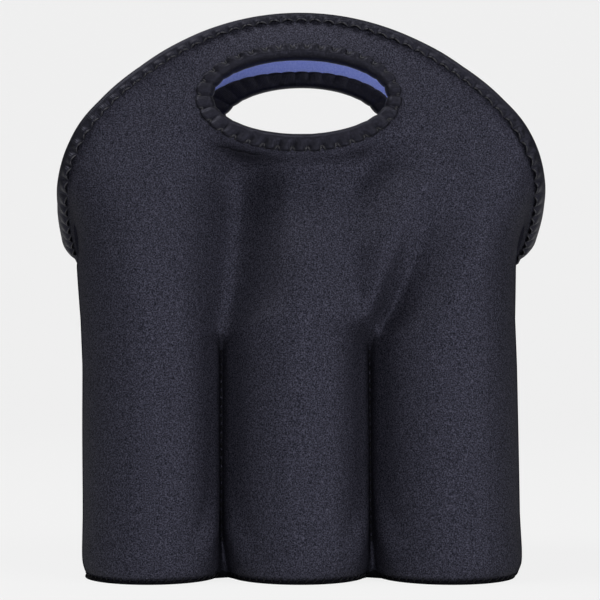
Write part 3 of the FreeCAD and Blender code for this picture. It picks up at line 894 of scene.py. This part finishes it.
def makeRimTape(facing):
    frames = {}

    def place(u, v):
        run = u * rimLength
        if u not in frames:
            frames[u] = rimFrame(rimShareAt(run))
        middle, _, up, normal = frames[u]
        swell = pillow(run / rimPitch)
        cover = rimCover(rimShareAt(run)) - tape["arch"] * swell
        full = tape["full"] - tape["pinch"] * (1 - swell)
        beyond, out = tapeSection(v, cover, full, tape["nose"], min(tape["lip"], full), tape["reach"])
        return middle + up * beyond + normal * out, (run, v * tape["wide"])

    bm = clothGrid(rimStitches * tape["perStitch"], tape["rows"], place)
    piece = addPiece(bm, facing + "_rim_tape", stretchTapeFinish, facing)
    thicken(piece, tape["wall"])
    bendWithFlap(piece)
    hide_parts(facing + "_rim_binding", facing + "_rim_ends")


# Tape round the handle hole: fuller, gathered at the ends of the oval

ring = {
    "full": 2.7 * mm,
    "lively": 0.15,  # pleats differ by this share
    "pinch": 2.5 * mm,
    "innerPinch": 0.4,  # share of it on the lining side
    "scallop": 1.2 * mm,
    "scallopMean": 0.6,
    "innerScallop": 0.3,
    "innerExtra": 2.2 * mm,  # broader on the lining side
    "endExtra": 2.5 * mm,  # and more so at the ends
    "leftEnd": 2.4,  # times that at the left one
    "lip": 1.3 * mm,
    "lowExtra": 2.2 * mm,  # broader below the hole, by the sine of the turn
    "lowFrom": 0.2,
    "lowFull": -0.9,
    "leftExtra": 1.2 * mm,
    "leftPower": 4,
    "gather": 6,  # how far the gathered ends reach
    "gatherFlat": 0.4,
    "crumple": 2.2 * mm,  # creases across the tape at the ends of the oval
    "crumpleReach": 0.5,
    "tapeWide": 26 * mm,  # laid flat
    "runAt": 5 * mm,  # stitches are spaced along the oval grown by this
    "weld": 0.01 * mm,
    "pitch": 6.6 * mm,
    "perStitch": 10,
    "steps": 720,
}


def ringPoint(turn, grow, out):
    across, along = handle["wide"] + grow, handle["high"] + grow
    flat = Vector((1, 0, 0)) * across * math.cos(turn) + handleUp * along * math.sin(turn)
    return handleMiddle + flat + handleOut * out


ringTurns = [2 * math.pi * step / ring["steps"] for step in range(ring["steps"] + 1)]
ringRuns = [0]
for low, high in zip(ringTurns, ringTurns[1:]):
    step = ringPoint(high, ring["runAt"], 0) - ringPoint(low, ring["runAt"], 0)
    ringRuns.append(ringRuns[-1] + step.length)
ringLength = ringRuns[-1]
ringStitches = round(ringLength / ring["pitch"])


def ringTurnAt(phase):  # phase counts stitches from the right end of the oval
    run = phase / ringStitches * ringLength % ringLength
    index = min(max(bisect.bisect(ringRuns, run), 1), ring["steps"])
    low, high = ringRuns[index - 1], ringRuns[index]
    return ringTurns[index - 1] + (run - low) / (high - low) * (ringTurns[index] - ringTurns[index - 1])


def ringCover(turn):  # width on the face, which differs round the hole
    low = smooth(ring["lowFrom"], ring["lowFull"], math.sin(turn)) * ring["lowExtra"]
    return tape["cover"] + low + ring["leftExtra"] * max(-math.cos(turn), 0) ** ring["leftPower"]


def makeHandleTape(facing):
    def place(u, v):
        phase = u * ringStitches
        turn = ringTurnAt(phase) if u < 1 else 2 * math.pi
        outer = v <= 0.5  # on the face, or else on the lining
        gathered = abs(math.cos(turn)) ** ring["gather"]
        swell = pillow(phase) ** (1 - ring["gatherFlat"] * gathered)
        chance = noise.cell(Vector((phase // 1 + 0.5, 0.5, 0.5))) - 0.5
        lively = ring["lively"] * chance * swell
        puff = ring["full"] * (1 + lively)
        full = puff - ring["pinch"] * (1 - swell) * (1 if outer else ring["innerPinch"])
        crumple = ring["crumple"] * (1 - swell) * gathered
        scallop = ring["scallop"] * (swell - ring["scallopMean"])
        cover = ringCover(turn) + scallop * (1 if v < 0.5 else ring["innerScallop"])
        ends = ring["endExtra"] * math.cos(turn) ** 2 * (1 if math.cos(turn) > 0 else ring["leftEnd"])
        cover += (ring["innerExtra"] + ends) * (v > 0.5)
        reach = tape["reach"] - ring["crumpleReach"] * crumple
        beyond, out = tapeSection(v, cover, full, puff - crumple, min(ring["lip"], full), reach)
        return ringPoint(turn, tape["reach"] - beyond, out), (u * ringLength, v * ring["tapeWide"])

    bm = clothGrid(ringStitches * ring["perStitch"], tape["rows"], place)
    bmesh.ops.remove_doubles(bm, verts=bm.verts, dist=ring["weld"])
    piece = addPiece(bm, facing + "_handle_tape", stretchTapeFinish, facing)
    thicken(piece, tape["wall"])
    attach(piece, facing + "_flap")
    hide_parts(facing + "_handle_binding")


for facing in ("front", "rear"):
    makeRimTape(facing)
    makeHandleTape(facing)
print(f"tapes ready, {rimStitches} stitches on a rim and {ringStitches} round a handle")

# Thread

thread = {"thick": 0.45 * mm, "arch": 0.35 * mm, "sink": 0.5 * mm, "thin": 0.8}  # thin: share for finer rows


# thread pieces default to the darker seam thread, whose tone is painted shade
def addThreadPiece(bm, name, replaced, facing="front", finish=shadeDarkSeamThread):
    piece = addPiece(bm, name, finish, facing)
    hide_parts(*replaced)
    return piece


rimRow = {"phases": (0.06, 0.42, 0.94), "inset": 0.25 * mm}


def makeRimThread(facing):
    # Loops that follow the arched edge of the tape from stitch to stitch
    bm = bmesh.new()
    for face in (1, -1):
        for number in range(rimStitches):
            knots = []
            for phase in rimRow["phases"]:
                run = (number + phase) * rimPitch
                swell = pillow(phase)
                beyond = rimRow["inset"] - rimCover(rimShareAt(run)) + tape["arch"] * swell
                full = tape["full"] - tape["pinch"] * (1 - swell)
                knots.append(onRim(run, beyond, face * (shell["halfPanel"] + full - rimRow["inset"])))
            for (start, up), (end, _) in zip(knots, knots[1:]):
                thick = thread["thin"] * thread["thick"]
                addStitch(bm, start, end, face * up, thick, thread["arch"], thread["sink"])
    piece = addThreadPiece(bm, facing + "_rim_thread", [facing + "_rim_stitching"], facing, tapeThread)
    bendWithFlap(piece)


handleRow = {"apexUp": 0.7 * mm, "apexIn": 2.4 * mm, "footUp": 0.3 * mm, "footPast": 0.3 * mm, "aside": 0.22}


def makeHandleThread(facing):
    # Pairs of stitches that spread from each pressed-in point of the tape
    bm = bmesh.new()
    for face in (1, -1):
        high = shell["halfPanel"] + ring["full"] - ring["pinch"] + handleRow["apexUp"]
        low = shell["halfPanel"] + handleRow["footUp"]
        for number in range(ringStitches):
            turn = ringTurnAt(number)
            apex = ringPoint(turn, tape["reach"] + ringCover(turn) - handleRow["apexIn"], face * high)
            for aside in (-handleRow["aside"], handleRow["aside"]):
                sideTurn = ringTurnAt(number + aside)
                grow = tape["reach"] + ringCover(sideTurn) + handleRow["footPast"]
                foot = ringPoint(sideTurn, grow, face * low)
                addStitch(bm, apex, foot, face * handleOut, thread["thick"], thread["arch"], thread["sink"])
    replaced = [facing + "_handle_stitching"]
    piece = addThreadPiece(bm, facing + "_handle_thread", replaced, facing, tapeThread)
    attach(piece, facing + "_flap")


sideSeam = {"low": 14 * mm, "high": 142 * mm, "pitch": 6 * mm, "half": 2.4 * mm, "sunk": 0.1 * mm}
barTack = {"half": 6 * mm, "pitch": 0.9 * mm, "high": 2.6 * mm, "z": 145.6 * mm, "lean": 0.35 * mm}


def makeSideSeams():
    for side, name in ((-1, "left"), (1, "right")):
        out = Vector((side, 0, 0))
        bm = bmesh.new()
        steps = round((sideSeam["high"] - sideSeam["low"]) / (sideSeam["pitch"] / 2))
        for step in range(steps):
            z = sideSeam["low"] + step * sideSeam["pitch"] / 2
            y = sideSeam["half"] * (1 if step % 2 else -1)
            face = slouched(side * (shell["sideX"] - sideSeam["sunk"]), z)
            start, end = Vector((face, y, z)), Vector((face, -y, z + sideSeam["pitch"] / 2))
            addStitch(bm, start, end, out, thread["thick"], thread["arch"], thread["sink"])
        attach(addThreadPiece(bm, name + "_side_thread", [name + "_side_seam"]), "pockets")
        bm = bmesh.new()
        face = slouched(side * (shell["sideX"] - sideSeam["sunk"]), barTack["z"])
        steps = round(2 * barTack["half"] / barTack["pitch"])
        for step in range(steps + 1):
            y = step * barTack["pitch"] - barTack["half"]
            lean = barTack["lean"] * (1 if step % 2 else -1)
            start = Vector((face, y - lean, barTack["z"] - barTack["high"] / 2))
            end = Vector((face, y + lean, barTack["z"] + barTack["high"] / 2))
            addStitch(bm, start, end, out, thread["thick"], thread["arch"], thread["sink"])
        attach(addThreadPiece(bm, name + "_tack_thread", [name + "_bar_tack"]), "pockets")


grooveRow = {"low": 17 * mm, "high": 108 * mm, "pitch": 4 * mm, "gap": 0.8 * mm}


def makeGrooveThread(facing):
    bm = bmesh.new()
    tip = shell["frontY"] - shell["grooveDeep"]
    out = Vector((0, -1, 0))
    for side in (-1, 1):
        for step in range(round((grooveRow["high"] - grooveRow["low"]) / grooveRow["pitch"])):
            z = grooveRow["low"] + step * grooveRow["pitch"]
            tipX = slouched(tucked(side * shell["pocketR"], -tip, 1, z), z)
            start = Vector((tipX, -tip, z))
            end = start + Vector((0, 0, grooveRow["pitch"] - grooveRow["gap"]))
            addStitch(bm, start, end, out, thread["thick"], thread["arch"], thread["sink"])
    piece = addThreadPiece(bm, facing + "_groove_thread", [facing + "_groove_stitching"], facing)
    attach(piece, "pockets")


baseSeam = {
    "pitch": 4.2 * mm,
    "half": 1.2 * mm,
    "tuck": 1.5 * mm,  # the lower ends go in under the panels
    "up": 0.2 * mm,  # middle of a stitch above the foot of the panels
    "lean": 0.7 * mm,
    "arch": 0.2 * mm,
    "level": 0.005,  # height on the panel, as a share of it
    "steps": 400,
}


def makeBaseThread():
    bm = bmesh.new()
    count = baseSeam["steps"]
    lap = [panelAt(2 * step / count - 1, baseSeam["level"]) for step in range(count + 1)]
    runs = [0]
    for low, high in zip(lap, lap[1:]):
        runs.append(runs[-1] + (high - low).length)
    steps = round(runs[-1] / baseSeam["pitch"])
    for row in (1, -1):
        for step in range(steps):
            index = min(max(bisect.bisect(runs, (step + 0.5) / steps * runs[-1]), 1), count - 1)
            along = (lap[index + 1] - lap[index - 1]).normalized()
            out = along.cross(Vector((0, 0, 1))).normalized()
            lean = along * baseSeam["lean"]
            middle = Vector((lap[index].x, lap[index].y, shell["lowZ"] + baseSeam["up"]))
            start = middle - lean - out * baseSeam["tuck"] - Vector((0, 0, baseSeam["half"]))
            end = middle + lean + Vector((0, 0, baseSeam["half"]))
            start, end, outward = [Vector((p.x, row * p.y, p.z)) for p in (start, end, out)]
            thick = thread["thin"] * thread["thick"]
            addStitch(bm, start, end, outward, thick, baseSeam["arch"], thread["sink"])
    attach(addThreadPiece(bm, "base_thread", ["base_seam"]), "pockets")


for facing in ("front", "rear"):
    makeRimThread(facing)
    makeHandleThread(facing)
    makeGrooveThread(facing)
makeSideSeams()
makeBaseThread()
print("thread ready")

# Studio: pale paper sweep, soft light, and the camera of the photograph

studio = {
    "half": 3.0,
    "bend": 0.8,
    "back": 1.6,
    "rise": 3,
    "paper": "#f3f3f3",
    "wash": 0.93,  # how far the camera sees the paper's own tone
    "air": 0.05,
    "seenAir": 0.96,
}


def paperFinish():
    # Matt paper: seen by the camera it stays near its own pale tone, and still takes the object's shadow
    finish, tree, _ = startFinish("studioPaper")
    rays = addNode(tree, "ShaderNodeLightPath")
    seen = addNode(
        tree, "ShaderNodeMath",
        {"operation": "MULTIPLY", 1: studio["wash"]},
        {0: rays.outputs["Is Camera Ray"]},
    )
    matt = addNode(tree, "ShaderNodeBsdfDiffuse", {"Color": linear(studio["paper"])})
    glow = addNode(tree, "ShaderNodeEmission", {"Color": linear(studio["paper"]), "Strength": 1})
    mixed = addNode(
        tree, "ShaderNodeMixShader", {},
        {0: seen.outputs[0], 1: matt.outputs["BSDF"], 2: glow.outputs["Emission"]},
    )
    addNode(tree, "ShaderNodeOutputMaterial", {}, {"Surface": mixed.outputs["Shader"]})
    return finish


def makeStudio():
    def place(u, v):
        run = v * (studio["half"] + studio["back"] + studio["rise"])
        y = run - studio["half"]
        turn = min(max((y - studio["back"]) / studio["bend"], 0), math.pi / 2)
        rise = max(y - studio["back"] - studio["bend"] * math.pi / 2, 0)
        depth = min(y, studio["back"]) + studio["bend"] * math.sin(turn)
        high = studio["bend"] * (1 - math.cos(turn)) + rise
        return Vector(((2 * u - 1) * studio["half"], depth, high)), (u, v)

    sweep = addPiece(clothGrid(8, 60, place), "paper_sweep", paperFinish())


softboxes = {
    "aim": (0, 0, 0.14),
    "size": (0.9, 0.9),
    "boxes": [
        ("front", (0, -1.99, 0.31), 13),
        ("right", (1.41, -1.41, 0.31), 13),
        ("highLeft", (-0.88, -0.32, 1.91), 24),
        ("highRight", (0.77, -0.54, 1.91), 14),
    ],
}


def addSoftbox(name, place, power):
    lamp = bpy.data.lights.new(name, "AREA")
    lamp.shape = "RECTANGLE"
    lamp.size, lamp.size_y = softboxes["size"]
    lamp.energy = power
    box = bpy.data.objects.new(name, lamp)
    box.location = place
    box.rotation_euler = (Vector(softboxes["aim"]) - Vector(place)).to_track_quat("-Z", "Y").to_euler()
    bpy.context.collection.objects.link(box)


makeStudio()
for name, place, power in softboxes["boxes"]:
    addSoftbox(name, place, power)
world = bpy.data.worlds.new("studioAir")
world.use_nodes = True
air = world.node_tree
airRays = addNode(air, "ShaderNodeLightPath")
airSeen = addNode(
    air, "ShaderNodeMapRange", {"To Min": studio["air"], "To Max": studio["seenAir"]},
    {"Value": airRays.outputs["Is Camera Ray"]},
)  # a view past the edge of the paper shows the same pale tone
air.nodes["Background"].inputs["Color"].default_value = linear(studio["paper"])
air.links.new(airSeen.outputs["Result"], air.nodes["Background"].inputs["Strength"])
bpy.context.scene.world = world

view = {"place": (0, -0.870, 0.110), "tilt": 1.45, "lens": 105, "sensor": 36}
camera = bpy.data.cameras.new("camera")
camera.lens = view["lens"]
camera.sensor_width = view["sensor"]
cameraObject = bpy.data.objects.new("camera", camera)
cameraObject.location = view["place"]
cameraObject.rotation_euler = (math.radians(90 + view["tilt"]), 0, 0)
bpy.context.collection.objects.link(cameraObject)
bpy.context.scene.camera = cameraObject
bpy.context.scene.view_settings.view_transform = "Standard"
print("studio ready")
